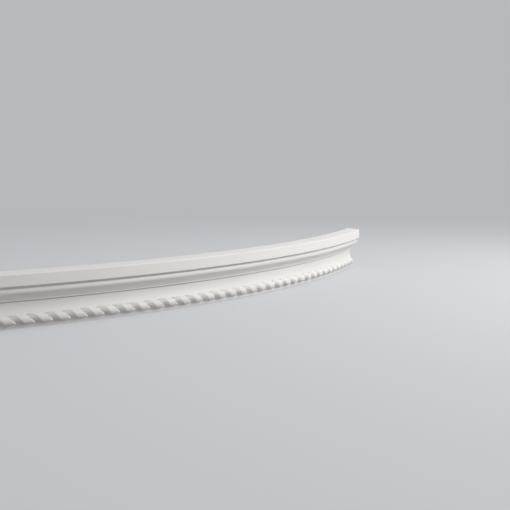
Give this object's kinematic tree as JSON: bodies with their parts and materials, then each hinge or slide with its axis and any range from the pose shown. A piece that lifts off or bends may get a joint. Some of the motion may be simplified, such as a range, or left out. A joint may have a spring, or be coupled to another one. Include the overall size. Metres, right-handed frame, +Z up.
{
  "type": "flexible moulding",
  "caption": "Flexible wall moulding bent to a round wall: flat back, plain fascia, rounded bead, soffit and cove over a twisted rope, with a mitred end.",
  "frame": {"origin": "middle of the foot that the moulding stands on, at mid-length", "axes": "+Z up; -Y out of the ornamented front at mid-length, +Y into the wall behind; +X along the chord of the bend, towards the mitred end"},
  "size_m": [1.7139, 0.4797, 0.06],
  "materials": {
    "white_polyurethane": "matt white primed"
  },
  "bodies": {
    "root": {"flexible_moulding": "white_polyurethane"}
  },
  "joints": []
}
